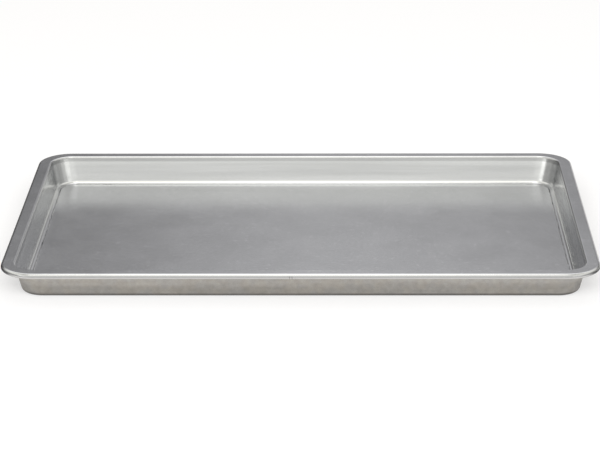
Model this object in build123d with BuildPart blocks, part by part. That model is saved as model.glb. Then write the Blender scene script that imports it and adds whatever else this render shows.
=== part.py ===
"""A jelly roll pan: a shallow baking pan pressed from one sheet, its rim curled round a steel wire.

The origin is the centre of the base's underside. X runs along the long sides, Y from the front
to the back and Z up. Lengths are in millimetres and angles in degrees.
"""
from build123d import *
from math import asin, cos, degrees, radians
import os

# The pan over its rim
pan_length = 420
pan_width = 280
pan_height = 21.4
rim_corner_radius = 25

# The pressed well: its inner faces, where they would meet the top of the rim, and the radius of
# its corners, measured square to their leaning edges and alike from the mouth to the foot
rim_width = 9.9
well_corner_radius = 16.2
wall_draft_angle = 11.2

# The sheet, and the radius of each bend on its hollow side
sheet_thickness = 0.5
floor_bend_radius = 3
rim_bend_radius = 1

# The wire in the rim, the play that the curl leaves it, and where the wire's two ends meet.
# It is hidden, so its round is drawn with this many flats, true to a fiftieth of a millimetre.
wire_diameter = 2.9
wire_flats = 20
wire_clearance = 0.1
wire_joint_gap = 1.6
wire_joint_offset = 6

# The sheet's end stops this far below the flange that it curls back to
curl_end_gap = 0.35

# Sizes that follow from those above
well_length = pan_length - 2 * rim_width
well_width = pan_width - 2 * rim_width
bead_bore_radius = wire_diameter / 2 + wire_clearance
bead_radius = bead_bore_radius + sheet_thickness
bead_center_z = pan_height - bead_radius
curl_end_angle = degrees(asin((bead_bore_radius - curl_end_gap) / bead_radius))
spine_length = pan_length - 2 * bead_radius
spine_width = pan_width - 2 * bead_radius
spine_corner_radius = rim_corner_radius - bead_radius


def pressed_block(growth, floor_z, floor_radius):
    """The well as a solid block, its drafted walls moved out square by growth, from floor_z up"""
    spread = 2 * growth / cos(radians(wall_draft_angle))
    with BuildPart() as block:
        with BuildSketch(Plane.XY.offset(floor_z)):
            Rectangle(well_length + spread, well_width + spread)
        extrude(amount=pan_height - floor_z)
        walls = block.faces().sort_by(Axis.Z)[1:-1]
        draft(walls, Plane.XY.offset(pan_height), -wall_draft_angle)
        leaning_edges = block.edges().group_by(Axis.Z)[1]
        fillet(leaning_edges, well_corner_radius + growth)
        fillet(block.faces().sort_by(Axis.Z)[0].edges(), floor_radius)
    return block.part


# The bead's centre line round the left half of the rim, from the middle of the front to the
# middle of the back, and the plane that its sections are drawn on: x out of the pan, y up
with BuildLine(Plane.XY.offset(bead_center_z)) as bead_line:
    FilletPolyline(
        (0, -spine_width / 2),
        (-spine_length / 2, -spine_width / 2),
        (-spine_length / 2, spine_width / 2),
        (0, spine_width / 2),
        radius=spine_corner_radius,
    )
bead_path = bead_line.wire()
bead_plane = Plane(origin=bead_path @ 0, x_dir=(0, -1, 0), z_dir=bead_path % 0)

# The pan's body: one sheet, with floor, drafted walls, flat flange and curled bead
outer_block = pressed_block(sheet_thickness, 0, floor_bend_radius + sheet_thickness)
well_block = pressed_block(0, sheet_thickness, floor_bend_radius)

with BuildPart() as pan_body:
    add(outer_block)

    # The flange lies level round the well, and the wall bends into it from below
    with BuildSketch(Plane.XY.offset(pan_height - sheet_thickness)):
        RectangleRounded(spine_length, spine_width, spine_corner_radius)
    extrude(amount=sheet_thickness)
    flange_underside = pan_body.faces().filter_by(Axis.Z).sort_by(Axis.Z)[-2]
    fillet(flange_underside.inner_wires()[0].edges(), rim_bend_radius)

    # The well is hollow, and its mouth turns over into the flange
    add(well_block, mode=Mode.SUBTRACT)
    flange_top = pan_body.faces().sort_by(Axis.Z)[-1]
    fillet(flange_top.inner_wires()[0].edges(), rim_bend_radius + sheet_thickness)

    # The flange's edge curls down, under and back up to just below the flange
    with BuildSketch(bead_plane):
        with BuildLine():
            curl_outside = CenterArc((0, 0), bead_radius, 90, -270 - curl_end_angle)
            curl_inside = CenterArc((0, 0), bead_bore_radius, 90, -270 - curl_end_angle)
            Line(curl_outside @ 0, curl_inside @ 0)
            Line(curl_outside @ 1, curl_inside @ 1)
        make_face()
    half_curl = sweep(path=bead_path)
    mirror(half_curl, about=Plane.YZ)

# The rim's wire: one loop of round steel, cut to length so that its ends all but meet
with BuildPart() as rim_wire:
    with BuildSketch(bead_plane):
        RegularPolygon(wire_diameter / 2, wire_flats)
    sweep(path=bead_path)
    mirror(about=Plane.YZ)
    with Locations((-wire_joint_offset, -spine_width / 2, bead_center_z)):
        Box(wire_joint_gap, 2 * wire_diameter, 2 * wire_diameter, mode=Mode.SUBTRACT)

os.makedirs("parts", exist_ok=True)
pan_body.part.label = "pan_body"
export_step(pan_body.part, "parts/pan_body.step")
rim_wire.part.label = "rim_wire"
export_step(rim_wire.part, "parts/rim_wire.step")
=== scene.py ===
from math import asin, cos, hypot, pi, radians, sin, tan

import bmesh
import bpy
from mathutils import Matrix, Vector


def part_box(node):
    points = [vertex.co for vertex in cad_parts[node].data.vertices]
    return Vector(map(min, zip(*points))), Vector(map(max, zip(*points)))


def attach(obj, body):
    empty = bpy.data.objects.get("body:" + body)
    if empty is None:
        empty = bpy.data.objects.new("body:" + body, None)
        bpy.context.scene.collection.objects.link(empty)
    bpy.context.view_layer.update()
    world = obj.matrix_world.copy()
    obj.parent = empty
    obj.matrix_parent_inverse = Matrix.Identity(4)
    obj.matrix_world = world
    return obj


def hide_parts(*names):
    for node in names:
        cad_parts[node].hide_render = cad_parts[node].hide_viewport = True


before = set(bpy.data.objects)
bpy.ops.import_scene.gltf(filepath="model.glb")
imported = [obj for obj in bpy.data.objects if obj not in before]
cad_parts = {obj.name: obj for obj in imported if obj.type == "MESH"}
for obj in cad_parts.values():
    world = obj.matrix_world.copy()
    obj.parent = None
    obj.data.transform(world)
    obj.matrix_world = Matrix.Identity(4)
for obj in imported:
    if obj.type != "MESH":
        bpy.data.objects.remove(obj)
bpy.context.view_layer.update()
mm = 0.001
print("frame loaded")


# Shader maths in Python: a Val is one socket of a finish, and its operators add Math nodes

class Val:
    def __init__(self, finish, socket):
        self.finish = finish
        self.socket = socket

    def __add__(self, other):
        return self.finish.calc("ADD", self, other)

    def __radd__(self, other):
        return self.finish.calc("ADD", other, self)

    def __sub__(self, other):
        return self.finish.calc("SUBTRACT", self, other)

    def __rsub__(self, other):
        return self.finish.calc("SUBTRACT", other, self)

    def __mul__(self, other):
        return self.finish.calc("MULTIPLY", self, other)

    def __rmul__(self, other):
        return self.finish.calc("MULTIPLY", other, self)

    def __truediv__(self, other):
        return self.finish.calc("DIVIDE", self, other)

    def __rtruediv__(self, other):
        return self.finish.calc("DIVIDE", other, self)

    def __abs__(self):
        return self.finish.calc("ABSOLUTE", self)


class Finish:
    # a node tree, to which node() adds a node: its type, its settings, its sockets
    def __init__(self, tree):
        self.tree = tree
        tree.nodes.clear()

    def node(self, kind, settings=None, sockets=None, output=0):
        made = self.tree.nodes.new(kind)
        for name, value in (settings or {}).items():
            if name == "stops":
                setStops(made.color_ramp, value)
            else:
                setattr(made, name, value)
        for name, value in (sockets or {}).items():
            if isinstance(value, Val):
                self.tree.links.new(value.socket, made.inputs[name])
            else:
                made.inputs[name].default_value = value
        return Val(self, made.outputs[output]) if len(made.outputs) else None

    def calc(self, operation, first, second=0.0):
        return self.node("ShaderNodeMath", {"operation": operation}, {0: first, 1: second})


def setStops(ramp, stops):
    while len(ramp.elements) < len(stops):
        ramp.elements.new(1.0)
    for element, (place, level) in zip(ramp.elements, stops):
        element.position = place
        element.color = (level, level, level, 1.0)


def newMaterial(name):
    material = bpy.data.materials.new(name)
    material.use_nodes = True
    return material, Finish(material.node_tree)


def addObject(name, data):
    made = bpy.data.objects.new(name, data)
    bpy.context.collection.objects.link(made)
    return made


# The pan's pressed sheet: its section is drawn from the middle of the floor out to the curled
# edge and back underneath, and every point of it goes round the pan as a ring

sheet = {
    "thick": 0.5 * mm,
    "rimWidth": 9.9 * mm,       # outermost edge to where the wall would meet the rim's top
    "rimCorner": 25 * mm,
    "wellCorner": 16.2 * mm,    # alike all the way down the wall
    "draft": radians(11.2),
    "floorBend": 3 * mm,
    "rimBend": 1 * mm,
    "wire": 1.45 * mm,          # radius of the wire that the edge curls round, and its play
    "play": 0.1 * mm,
    "curlGap": 0.35 * mm,       # the curl ends this far below the flange
    "longSteps": 42,            # steps of a ring along a long side, a short side and a corner
    "shortSteps": 56,
    "cornerSteps": 16,
    "bendSteps": 8,             # steps of the section round a bend and round the curl
    "curlSteps": 36,
    "settle": (8 * mm, 0.12 * mm),      # below this height the wall flares in, by this much in all
    "runPiece": 2 * mm,         # longest step on the straight runs of the section
    "bendGuard": 0.35 * mm,     # a short step next to each bend keeps the flats flat
}

halfLong, halfShort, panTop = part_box("pan_body")[1]
bore = sheet["wire"] + sheet["play"]
bead = bore + sheet["thick"]
beadZ = panTop - bead


def wallInset(z):
    # how far in from the rim's edge the wall's inner face lies at this height
    return sheet["rimWidth"] + (panTop - z) * tan(sheet["draft"])


def cornerAt(inset, skin):
    # the radius of a ring's corners: the rim's and the well's have centres of their own, and the
    # flange leads from the one to the other
    top, foot = wallInset(panTop - sheet["rimBend"]), wallInset(sheet["thick"] + sheet["floorBend"])
    onWall = min(max(inset + skin, top), foot)
    onWell = sheet["wellCorner"] + onWall - inset
    onRim = sheet["rimCorner"] - inset
    bendEnd = sheet["rimWidth"] - 2 * sheet["rimBend"]
    share = min(max((inset - bead) / (bendEnd - bead), 0.0), 1.0)
    return onRim + (onWell - onRim) * share


def arcPoints(middle, radius, start, end, steps):
    # round a bend of the section: turn 0 points out of the pan and a quarter turn points up
    turns = [start + (end - start) * step / steps for step in range(steps + 1)]
    return [(middle[0] - radius * cos(turn), middle[1] + radius * sin(turn)) for turn in turns]


def sectionPoints():
    # the inset, height and skin of each point, where skin is how much further in the sheet's
    # inner face lies
    draft = sheet["draft"]
    up = pi / 2
    thick = sheet["thick"]
    lowBend = sheet["floorBend"]
    highBend = sheet["rimBend"]
    floorMiddle = (wallInset(thick + lowBend) + lowBend / cos(draft), thick + lowBend)
    rimBendZ = panTop - thick - highBend
    outerWall = wallInset(rimBendZ) - thick / cos(draft)
    rimMiddle = (outerWall - highBend / cos(draft), rimBendZ)
    beadMiddle = (bead, beadZ)
    curlEnd = -pi - asin((bore - sheet["curlGap"]) / bead)
    bends = sheet["bendSteps"]
    points = []
    points += arcPoints(floorMiddle, lowBend, -up, -draft, bends)
    points += arcPoints(rimMiddle, highBend + thick, pi - draft, up, bends)
    points += arcPoints(beadMiddle, bead, up, curlEnd, sheet["curlSteps"])
    upper = splitRuns(points)
    points = []
    points += arcPoints(beadMiddle, bore, curlEnd, up, sheet["curlSteps"])
    points += arcPoints(rimMiddle, highBend, up, pi - draft, bends)
    points += arcPoints(floorMiddle, lowBend + thick, -draft, -up, bends)
    under = splitRuns(points)
    skin = thick / cos(draft)
    return [(*point, 0.0) for point in upper[:-1]] + [(*point, skin) for point in under[1:]]


def splitRuns(points):
    # the straight runs of the section get points of their own
    guard = sheet["bendGuard"]
    split = [(points[0][0] + guard, points[0][1]), points[0]]
    for before, after in zip(points, points[1:]):
        run = hypot(after[0] - before[0], after[1] - before[1])
        shares = [1.0]
        if run > 3 * guard:
            pieces = max(1, round((run - 2 * guard) / sheet["runPiece"]))
            inner = [guard + (run - 2 * guard) * piece / pieces for piece in range(pieces + 1)]
            shares = [place / run for place in inner] + [1.0]
        for share in shares:
            split.append((
                before[0] + (after[0] - before[0]) * share,
                before[1] + (after[1] - before[1]) * share,
            ))
    split.append((points[-1][0] + guard, points[-1][1]))
    return [(inset + settled(z), z) for inset, z in split]


def settled(z):
    # the pressed wall isn't quite straight: it eases into the bend at its foot
    start, most = sheet["settle"]
    foot = sheet["thick"] + sheet["floorBend"]
    share = min(max((start - z) / (start - foot), 0.0), 1.0)
    return most * share ** 2


def ringAround(inset, z, skin):
    # one closed ring of points, from the middle of the left front corner's arc round by the right
    corner = cornerAt(inset, skin)
    straightX = halfLong - inset - corner
    straightY = halfShort - inset - corner
    half = sheet["cornerSteps"] // 2
    # each side: the middle of the corner before it, the turn at which its ring starts, its steps
    sides = [
        ((-straightX, -straightY), 1.25 * pi, sheet["longSteps"]),
        ((straightX, -straightY), 1.75 * pi, sheet["shortSteps"]),
        ((straightX, straightY), 0.25 * pi, sheet["longSteps"]),
        ((-straightX, straightY), 0.75 * pi, sheet["shortSteps"]),
    ]
    ring = []
    for number, (middle, start, steps) in enumerate(sides):
        following = sides[(number + 1) % len(sides)][0]
        ring += cornerArc(middle, corner, start, half)
        begin = start + pi / 4
        first = Vector((middle[0] + corner * cos(begin), middle[1] + corner * sin(begin)))
        last = Vector((following[0] + corner * cos(begin), following[1] + corner * sin(begin)))
        ring += [first.lerp(last, step / steps) for step in range(steps)]
        ring += cornerArc(following, corner, begin, half)
    return [Vector((point[0], point[1], z)) for point in ring]


def cornerArc(middle, radius, start, steps):
    # half a corner, without its last point
    turns = [start + (pi / 4) * step / steps for step in range(steps)]
    return [
        Vector((middle[0] + radius * cos(turn), middle[1] + radius * sin(turn)))
        for turn in turns
    ]


def fillFlat(ring, columns, rows):
    # a grid across a ring, shaped from its four sides
    front = ring[:columns + 1]
    right = ring[columns:columns + rows + 1]
    back = ring[columns + rows:2 * columns + rows + 1][::-1]
    left = (ring[2 * columns + rows:] + ring[:1])[::-1]
    grid = []
    for row in range(rows + 1):
        v = row / rows
        line = []
        for column in range(columns + 1):
            u = column / columns
            sides = front[column].lerp(back[column], v) + left[row].lerp(right[row], u)
            corners = front[0].lerp(front[-1], u).lerp(back[0].lerp(back[-1], u), v)
            line.append(sides - corners)
        grid.append(line)
    return grid


def buildPan():
    section = sectionPoints()
    rings = [ringAround(*point) for point in section]
    count = len(rings[0])
    columns = sheet["longSteps"] + sheet["cornerSteps"]
    rows = sheet["shortSteps"] + sheet["cornerSteps"]
    points = [point for ring in rings for point in ring]
    faces = []
    for ring in range(len(rings) - 1):
        low = ring * count
        high = low + count
        for step in range(count):
            following = (step + 1) % count
            faces.append((low + step, low + following, high + following, high + step))
    for ringNumber, faceUp in ((0, True), (len(rings) - 1, False)):
        grid = fillFlat(rings[ringNumber], columns, rows)
        index = gridIndex(points, grid, ringNumber * count, columns, rows)
        for row in range(rows):
            for column in range(columns):
                face = (
                    index[row][column],
                    index[row][column + 1],
                    index[row + 1][column + 1],
                    index[row + 1][column],
                )
                faces.append(face if faceUp else face[::-1])
    mesh = bpy.data.meshes.new("panSheet")
    mesh.from_pydata(points, [], faces)
    mesh.validate()
    mesh.shade_smooth()
    return addObject("panSheet", mesh)


def gridIndex(points, grid, ringStart, columns, rows):
    # the grid's border uses the ring's own points, and only the inside is new
    count = 2 * (columns + rows)
    index = []
    for row in range(rows + 1):
        line = []
        for column in range(columns + 1):
            if row == 0:
                line.append(ringStart + column)
            elif column == columns:
                line.append(ringStart + columns + row)
            elif row == rows:
                line.append(ringStart + columns + rows + columns - column)
            elif column == 0:
                line.append(ringStart + count - row)
            else:
                line.append(len(points))
                points.append(grid[row][column])
        index.append(line)
    return index


pan = buildPan()
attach(pan, "root")
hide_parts("pan_body")
print("pan built", len(pan.data.polygons), "faces")


# What both finishes are made of

def ramp(finish, value, start, end):
    # 0 up to start, 1 from end on
    return finish.node("ShaderNodeMapRange", {"interpolation_type": "SMOOTHSTEP"}, {
        "Value": value, "From Min": start, "From Max": end,
    })


def fade(finish, value, start, end):
    # 1 up to start, down to 0 at end
    return finish.node("ShaderNodeMapRange", {"interpolation_type": "SMOOTHSTEP"}, {
        "Value": value, "From Min": start, "From Max": end, "To Min": 1.0, "To Max": 0.0,
    })


def blend(finish, share, first, second):
    return finish.node("ShaderNodeMix", {"data_type": "RGBA"}, {0: share, 6: first, 7: second}, 2)


def scaled(finish, color, share):
    return finish.node("ShaderNodeVectorMath", {"operation": "SCALE"}, {0: color, "Scale": share})


def partsOf(finish, vector, axes="XYZ"):
    return [finish.node("ShaderNodeSeparateXYZ", {}, {"Vector": vector}, axis) for axis in axes]


def placeOnObject(finish):
    return finish.node("ShaderNodeTexCoord", {}, {}, "Object")


def patches(finish, spot, scale, detail=2.0):
    # noise that varies round 0
    noise = finish.node("ShaderNodeTexNoise", {}, {
        "Vector": spot, "Scale": scale, "Detail": detail,
    })
    return noise - 0.5


def finishMetal(finish, color, roughness, relief, depth):
    normal = finish.node("ShaderNodeBump", {}, {
        "Strength": 1.0, "Distance": depth, "Height": relief,
    })
    shader = finish.node("ShaderNodeBsdfPrincipled", {}, {
        "Base Color": color, "Metallic": 1.0, "Roughness": roughness, "Normal": normal,
    })
    finish.node("ShaderNodeOutputMaterial", {}, {"Surface": shader})


# The sheet's satin metal. Scales are per metre, tilt is how far up a surface faces (1 for a level
# one, 0 for an upright one), and a share multiplies the tone.

satin = {
    "color": (0.674, 0.679, 0.686, 1.0),
    "roughness": (0.22, 0.08, 0.1, -0.05),      # plain, and what speckle, cloud and bends add to it

    # the outside has a film that is warm in some patches, and that is thin on the bead
    "outside": ((0.684, 0.655, 0.606, 1.0), (0.658, 0.643, 0.616, 1.0)),
    "film": (100, (-0.12, 0.12), 0.7),  # scale, where the noise changes colour, loss on the bead

    # painted highlight: the bends are made lighter, those of the long sides more than those of the
    # short ones
    "paintedHighlights": ((0.7, 0.7, 0.7, 1.0), (0.96, 0.96, 0.95, 1.0)),
    "longSides": (0.6, 0.95),   # how nearly ahead a bend faces where it goes from short to long

    "wallTilt": (0.22, 0.36),   # a surface is a wall up to the first tilt, and none past the second
    "bendTilt": ((0.25, 0.5), (0.93, 0.995)),   # where a bend starts, and where it ends
    "underTilt": (0.05, 0.15),  # how far down a surface faces where the outside starts

    # patches all over: scale and strength
    "grain": (420, 0.06),       # fine speckle
    "grainDepth": 0.002 * mm,
    "cloud": (26, 0.065),

    # patches in some places
    "scuffs": (230, (0.14, 0.24), 0.1),     # level parts: scale, where the noise counts, strength
    "streaks": ((6, 6, 190), 0.4),      # walls: scales along and up them, strength
    "blots": (240, 0.42),       # outside: scale and strength
    "rimMarks": (70, 0.22),     # rim: scale and strength of the marks that hands leave
    "rimBand": (1.2 * mm, 0.5 * mm),    # how far below the top they start and are full

    # painted light and shade by height
    "foot": (3.2 * mm, 1.2 * mm, 0.5),      # painted shade: down from here to here the outside darkens to a share
    "paintedOutsideLight": (3 * mm, 17 * mm, 0.89, 1.08),  # painted light and shade: up from here to here it goes from share to share
    "beadUnderHighlight": 1.7,           # share on the bead's underside: a painted highlight
    "paintedBeadShade": (0.28, 0.22, 0.7, 0.76),    # painted shade, a darker line on the bead: tilt, reach, faded, share

    # marks of the wire's two ends in the front bead
    "joint": (-6 * mm, 1.6 * mm, 0.12 * mm, 0.32),      # middle, spacing, half width, share
    "jointTilt": (0.1, 0.45),   # they fade out towards the top
    "jointReach": (1.6, 1.2),   # and start this far in from the front, in bead radii
}


def toShare(share, mask):
    # what takes a tone to this share of itself where the mask is 1
    return 1 + (share - 1) * mask


def satinMetal():
    material, finish = newMaterial("satinSheet")
    spot = placeOnObject(finish)
    x, y, height = partsOf(finish, spot)
    ahead, tilt = partsOf(finish, finish.node("ShaderNodeNewGeometry", {}, {}, "Normal"), "YZ")

    # where things are: 1 there and 0 elsewhere
    bendStart, levelStart = satin["bendTilt"]
    onLevel = ramp(finish, tilt, *levelStart)
    onBend = ramp(finish, tilt, *bendStart) * (1 - onLevel)
    onWall = fade(finish, abs(tilt), *satin["wallTilt"])
    onRim = ramp(finish, height, *[panTop - depth for depth in satin["rimBand"]])
    onBead = ramp(finish, height, beadZ - bead, beadZ - 0.5 * bead)
    outside = ramp(finish, 0 - tilt, *satin["underTilt"])

    # colours of the plain sheet, the film on its outside, and the painted highlight on the bends
    scale, turn, lostOnBead = satin["film"]
    warm = ramp(finish, patches(finish, spot, scale, detail=3.0), *turn)
    film = blend(finish, warm, *satin["outside"])
    color = blend(finish, outside * (1 - lostOnBead * onBead), satin["color"], film)
    # painted highlight on the bends, the more so where they face ahead or back
    lean = 1.001 - tilt * tilt          # a trifle over 1, so that a level face doesn't divide by 0
    facing = abs(ahead) / finish.calc("SQRT", lean)
    paintedHighlight = blend(finish, ramp(finish, facing, *satin["longSides"]), *satin["paintedHighlights"])
    color = blend(finish, onBend, color, paintedHighlight)

    # lighter and darker patches
    scale, grainStrength = satin["grain"]
    grain = patches(finish, spot, scale)
    scale, cloudStrength = satin["cloud"]
    cloud = patches(finish, spot, scale)
    change = grain * grainStrength + cloud * cloudStrength
    scale, start, strength = satin["scuffs"]
    scuff = ramp(finish, patches(finish, spot, scale, detail=1.0), *start)
    change = change + scuff * onLevel * strength
    scales, strength = satin["streaks"]
    stretched = finish.node("ShaderNodeVectorMath", {"operation": "MULTIPLY"}, {
        0: spot, 1: scales,
    })
    change = change + patches(finish, stretched, 1.0) * onWall * strength
    scale, strength = satin["blots"]
    change = change + patches(finish, spot, scale, detail=4.0) * outside * strength
    scale, strength = satin["rimMarks"]
    handled = 1 + patches(finish, spot, scale, detail=3.0) * onRim * strength

    # painted shade at the outside's foot, painted light and shade from there up to the bead, and a
    # painted highlight on the bead
    start, end, footShadeShare = satin["foot"]
    foot = (1 - ramp(finish, height, end, start)) * outside
    low, high, lowShare, highShare = satin["paintedOutsideLight"]
    paintedOutsideLight = lowShare + (highShare - lowShare) * ramp(finish, height, low, high)
    paintedOutsideLight = paintedOutsideLight + (satin["beadUnderHighlight"] - paintedOutsideLight) * onBead

    # the bead's line of painted shade, and the marks of the wire's ends
    beadShadeTilt, held, ended, beadShadeShare = satin["paintedBeadShade"]
    paintedBeadShade = fade(finish, abs(tilt - beadShadeTilt), held, ended) * onBead
    middle, spacing, halfWidth, markShare = satin["joint"]
    offLine = abs(abs(x - middle) - spacing / 2)
    mark = fade(finish, offLine, halfWidth, 2 * halfWidth) * fade(finish, tilt, *satin["jointTilt"])
    reach = [halfShort - radii * bead for radii in satin["jointReach"]]
    mark = mark * ramp(finish, 0 - y, *reach)

    # the tone, with the painted shade and painted highlights multiplied in
    shade = (1 + change) * handled * toShare(footShadeShare, foot) * toShare(markShare, mark)
    shade = shade * toShare(beadShadeShare, paintedBeadShade) * toShare(paintedOutsideLight, outside)
    plain, byGrain, byCloud, byBend = satin["roughness"]
    roughness = plain + byGrain * grain + byCloud * cloud + byBend * onBend
    finishMetal(finish, scaled(finish, color, shade), roughness, grain, satin["grainDepth"])
    return material


pan.data.materials.append(satinMetal())


# The wire's drawn steel: fine lines round the rim with it, and a duller bloom in patches

drawn = {
    "color": ((0.5, 0.495, 0.485, 1.0), (0.4, 0.395, 0.39, 1.0)),
    "roughness": (0.28, 0.5),
    "lines": (1900, 0.22, 0.01 * mm),   # how many a metre across the wire, strength, depth
    "bloom": (60, (-0.15, 0.2)),        # scale, and where the noise starts and is full
}


def drawnSteel():
    material, finish = newMaterial("drawnSteel")
    spot = placeOnObject(finish)
    x, y, height = partsOf(finish, spot)
    # the lines follow the sides that they lie along: inward is the way off the nearer side
    inward = finish.calc("MINIMUM", halfLong - abs(x), halfShort - abs(y))
    across = finish.node("ShaderNodeCombineXYZ", {}, {"X": inward, "Z": height})
    scale, strength, depth = drawn["lines"]
    lines = patches(finish, across, scale)
    scale, start = drawn["bloom"]
    bloom = ramp(finish, patches(finish, spot, scale, detail=4.0), *start)
    color = scaled(finish, blend(finish, bloom, *drawn["color"]), 1 + lines * strength)
    bright, dull = drawn["roughness"]
    finishMetal(finish, color, bright + (dull - bright) * bloom, lines, depth)
    return material


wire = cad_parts["rim_wire"]
wire.data.materials.clear()
wire.data.materials.append(drawnSteel())
print("finishes made")


# The floor, the world and the lamps

studio = {
    "floorSize": 12.0,
    "floorColor": (0.89, 0.875, 0.86, 1.0),

    # share of the table that the camera sees plain white: beside the pan, and in front of it
    "whiteToLens": (0.47, 0.64),
    "frontStarts": (0.1, 0.13),

    # share of the table that metal sees dark, and where it sees all of it dark: past this to
    # the left, from here to here going back, and how light; to the right, only in front of here
    "dimInMetal": 0.45,
    "shadeOnTable": (0.208, (-0.15, -0.11), 0.12),
    "shadeOnRight": (-0.07, -0.04),
    "shadeEdge": 0.02,

    "ambient": 0.78,
    "softboxes": {              # place, aim, size and strength; they light the table only
        "backTop": ((0, 0.75, 1.15), (0, 0, 0), (1.9, 0.8), 0.65),
        "frontTop": ((0, -1.5, 1.1), (0, 0, 0), (2.4, 1.0), 4.0),
    },
}


def seenBy(finish, toLens, inMetal):
    # toLens for rays from the camera, inMetal for rays by way of metal or glass, and 0 for light
    direct, mirrored, through = [
        finish.node("ShaderNodeLightPath", {}, {}, "Is " + kind + " Ray")
        for kind in ("Camera", "Glossy", "Transmission")
    ]
    return direct * toLens + (mirrored + through) * inMetal


def plainGlow(finish, strength):
    return finish.node("ShaderNodeEmission", {}, {"Color": (1, 1, 1, 1), "Strength": strength})


def mixed(finish, share, first, second):
    return finish.node("ShaderNodeMixShader", {}, {"Fac": share, 1: first, 2: second})


def addFloor():
    half = studio["floorSize"] / 2
    corners = [(-half, -half, 0), (half, -half, 0), (half, half, 0), (-half, half, 0)]
    mesh = bpy.data.meshes.new("tableTop")
    mesh.from_pydata(corners, [], [(0, 1, 2, 3)])
    floor = addObject("tableTop", mesh)
    material, finish = newMaterial("tableWhite")
    x, y = partsOf(finish, placeOnObject(finish), "XY")
    # for the camera: the lit table with some plain white
    lit = finish.node("ShaderNodeBsdfDiffuse", {}, {"Color": studio["floorColor"]})
    beside, inFront = studio["whiteToLens"]
    white = beside + (inFront - beside) * ramp(finish, 0 - y, *studio["frontStarts"])
    table = mixed(finish, seenBy(finish, white, 0.0), lit, plainGlow(finish, 1.0))
    # for metal: darker, and darkest to the left
    sideways, backwards, darkest = studio["shadeOnTable"]
    edge = (sideways, sideways + studio["shadeEdge"])
    shaded = ramp(finish, 0 - x, *edge)
    shaded = shaded + ramp(finish, x, *edge) * fade(finish, y, *studio["shadeOnRight"])
    dim = studio["dimInMetal"]
    dimmed = dim + (1 - dim) * shaded * ramp(finish, y, *backwards)
    table = mixed(finish, dimmed * seenBy(finish, 0.0, 1.0), table, plainGlow(finish, darkest))
    finish.node("ShaderNodeOutputMaterial", {}, {"Surface": table})
    mesh.materials.append(material)


def setWorld():
    world = bpy.data.worlds.new("studioAir")
    bpy.context.scene.world = world
    world.use_nodes = True
    finish = Finish(world.node_tree)
    over = 1 - studio["ambient"]
    strength = studio["ambient"] + seenBy(finish, over, over)
    air = finish.node("ShaderNodeBackground", {}, {"Color": (1, 1, 1, 1), "Strength": strength})
    finish.node("ShaderNodeOutputWorld", {}, {"Surface": air})


def addSoftbox(name, place, aim, size, radiance):
    lamp = bpy.data.lights.new(name, "AREA")
    lamp.shape = "RECTANGLE"
    lamp.size, lamp.size_y = size
    lamp.energy = radiance * pi * size[0] * size[1]
    box = addObject(name, lamp)
    box.location = place
    box.rotation_euler = (Vector(aim) - Vector(place)).to_track_quat("-Z", "Y").to_euler()
    box.visible_camera = False
    box.visible_glossy = False


# The light tent that the metal mirrors. Most of it is pairs of degrees and level: degrees up
# from the table unless they are said to go round, and a level where 1 is white.

tent = {
    "radius": 2.6,
    "segments": (48, 24),       # slices and rings of its mesh
    "brightest": 4,             # no level is over this

    # the part behind the pan, the part in front and the sides, and what joins them
    "behind": (
        (0, 0.62), (10, 0.62), (36, 0.9), (46, 0.9), (52, 1.2), (60, 1.3), (80, 1.3), (86, 1.15),
    ),
    "front": (
        (0, 0.98), (5, 0.99), (8, 1.16), (14, 1.16), (20, 1.12), (38, 1.06), (46, 1.08), (54, 1.3),
        (60, 1.55), (78, 1.55), (86, 1.25),
    ),
    "sides": (
        (0, 0.4), (10, 0.45), (16, 0.42), (24, 0.95), (38, 1.0), (50, 0.75), (60, 0.52),
        (76, 0.55), (84, 0.8),
    ),
    "sector": (28, 46),         # degrees round, off the middle, where the back and front end
    "frontLean": 11,            # the front's middle lies this far to the left

    # dips on both sides of the front, by these shares
    "frontSag": ((1, 8), (18, 32), (44, 56), 0.31),     # starts sideways, starts up, ends up
    "frontEnds": ((3, 9), (6, 9), 0.1),     # starts sideways, ends up

    # dusk behind the pan: its level from left to right, how that grows upwards, and its place
    "dusk": (
        (-60, 0.14), (-20, 0.15), (-12, 0.222), (-9, 0.265), (-7, 0.31), (-6, 0.345), (-4, 0.375),
        (0, 0.455), (4, 0.413), (7, 0.375), (14, 0.275), (60, 0.22),
    ),
    "duskSpan": (-60, 60),
    "duskLift": (
        (13, 0.75), (18, 0.89), (18.8, 0.86), (19.9, 0.98), (20.7, 1.1), (25, 1.5), (36, 2.1),
    ),
    "duskBand": ((10, 0.0), (13, 1.0), (24, 1.0), (36, 0.0)),
    "duskSector": (45, 60),

    # shade on the left, down to the table: degrees round, its top and its level
    "shade": ((-75, 0.0), (-60, 1.0), (-9, 1.0), (-3, 0.0)),
    "shadeSpan": (-90, 0),
    "shadeTop": (9, 14),
    "shadeLevel": 0.1,

    # boxes on the table: degrees round, half width, height, level
    "lowBoxes": (
        (-136, (9, 15), (11.2, 16.8), 1.9),
        (141, (11.25, 18.75), (11.2, 16.8), 1.7),
        (117, (10.5, 17.5), (11.2, 16.8), 0.78),
    ),

    "coolTint": (0.985, 0.98, 1.0, 1.0),        # of the part behind
    "warmTint": (1.0, 1.0, 0.96, 1.0),
}


def levels(finish, pairs, angle, first=0.0, last=90.0):
    # reads a level off the pairs, spread over the range of degrees from first to last
    most = tent["brightest"]
    stops = [((degrees - first) / (last - first), level / most) for degrees, level in pairs]
    share = (angle - first) / (last - first)
    return most * finish.node("ShaderNodeValToRGB", {"stops": stops}, {"Fac": share})


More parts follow.
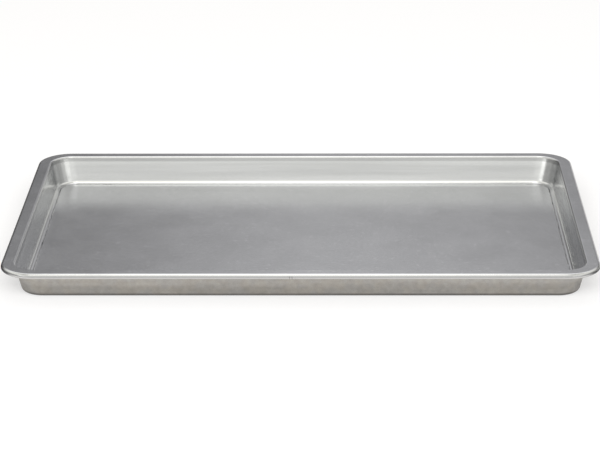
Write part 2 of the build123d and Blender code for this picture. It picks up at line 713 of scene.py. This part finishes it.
def tentCloth():
    material, finish = newMaterial("tentCloth")
    aim = finish.node("ShaderNodeVectorMath", {"operation": "NORMALIZE"}, {
        0: placeOnObject(finish),
    })
    x, y, z = partsOf(finish, aim)
    up = finish.calc("ARCSINE", z) * (180 / pi)
    around = finish.calc("ARCTAN2", x, y) * (180 / pi)       # 0 behind the pan, 90 to its right
    offBack = abs(around)
    offFront = abs(finish.calc("ARCTAN2", x, 0 - y) * (180 / pi) + tent["frontLean"])
    back = fade(finish, offBack, *tent["sector"])
    front = fade(finish, offFront, *tent["sector"])

    # the front dips on both sides, high up and low down
    sideways = 180 - offBack
    aside, above, top, depth = tent["frontSag"]
    dip = ramp(finish, sideways, *aside) * ramp(finish, up, *above) * fade(finish, up, *top)
    frontLevel = levels(finish, tent["front"], up) * (1 - depth * dip)
    aside, below, depth = tent["frontEnds"]
    dip = ramp(finish, sideways, *aside) * fade(finish, up, *below)
    frontLevel = frontLevel * (1 - depth * dip)
    level = back * levels(finish, tent["behind"], up) + front * frontLevel
    level = level + (1 - back - front) * levels(finish, tent["sides"], up)

    # dusk behind the pan, the boxes on the table and the shade on the left
    band = levels(finish, tent["duskBand"], up) * fade(finish, offBack, *tent["duskSector"])
    dusk = levels(finish, tent["dusk"], around, *tent["duskSpan"])
    dusk = dusk * levels(finish, tent["duskLift"], up)
    level = level * (1 - band) + dusk * band
    for middle, halfWidth, height, boxLevel in tent["lowBoxes"]:
        box = fade(finish, abs(around - middle), *halfWidth) * fade(finish, up, *height)
        level = finish.calc("MAXIMUM", level, boxLevel * box)
    shade = levels(finish, tent["shade"], around, *tent["shadeSpan"])
    shade = shade * fade(finish, up, *tent["shadeTop"])
    level = level * (1 - shade) + tent["shadeLevel"] * shade

    # a level that varies goes by way of the colour
    tint = blend(finish, 1 - back, tent["coolTint"], tent["warmTint"])
    cloth = finish.node("ShaderNodeEmission", {}, {
        "Color": scaled(finish, tint, level), "Strength": 1.0,
    })
    finish.node("ShaderNodeOutputMaterial", {}, {"Surface": cloth})
    material.cycles.emission_sampling = "NONE"
    return material


def addTent():
    mesh = bpy.data.meshes.new("lightTent")
    shape = bmesh.new()
    slices, rings = tent["segments"]
    bmesh.ops.create_uvsphere(
        shape, u_segments=slices, v_segments=rings, radius=tent["radius"],
    )
    below = [vertex for vertex in shape.verts if vertex.co.z < -0.01]   # it's a dome
    bmesh.ops.delete(shape, geom=below, context="VERTS")
    shape.to_mesh(mesh)
    shape.free()
    mesh.materials.append(tentCloth())
    dome = addObject("lightTent", mesh)
    dome.visible_camera = False
    dome.visible_diffuse = False
    dome.visible_shadow = False


addFloor()
setWorld()
for name, settings in studio["softboxes"].items():
    addSoftbox(name, *settings)
addTent()
print("studio lit")


# The camera, from the photograph's own perspective

lens = {
    "focalPixels": 2448.6,
    "frameWidth": 600,
    "sensor": 36.0,
    "place": (27.5 * mm, -1725.8 * mm, 608.7 * mm),
    "tilt": 0.3344,             # radians down from level
    "turn": 0.017,              # to the left
    "roll": -0.006,
    "clip": (0.05, 50),         # nearest and furthest that it draws
}


def addCamera():
    data = bpy.data.cameras.new("photoLens")
    data.sensor_fit = "HORIZONTAL"
    data.sensor_width = lens["sensor"]
    data.lens = lens["focalPixels"] / lens["frameWidth"] * lens["sensor"]
    data.clip_start, data.clip_end = lens["clip"]
    camera = addObject("photoLens", data)
    turned = Matrix.Rotation(lens["turn"], 4, "Z") @ Matrix.Rotation(pi / 2 - lens["tilt"], 4, "X")
    rolled = turned @ Matrix.Rotation(lens["roll"], 4, "Z")
    camera.matrix_world = Matrix.Translation(lens["place"]) @ rolled
    bpy.context.scene.camera = camera


addCamera()
bpy.context.scene.view_settings.view_transform = "Standard"
print("camera set")
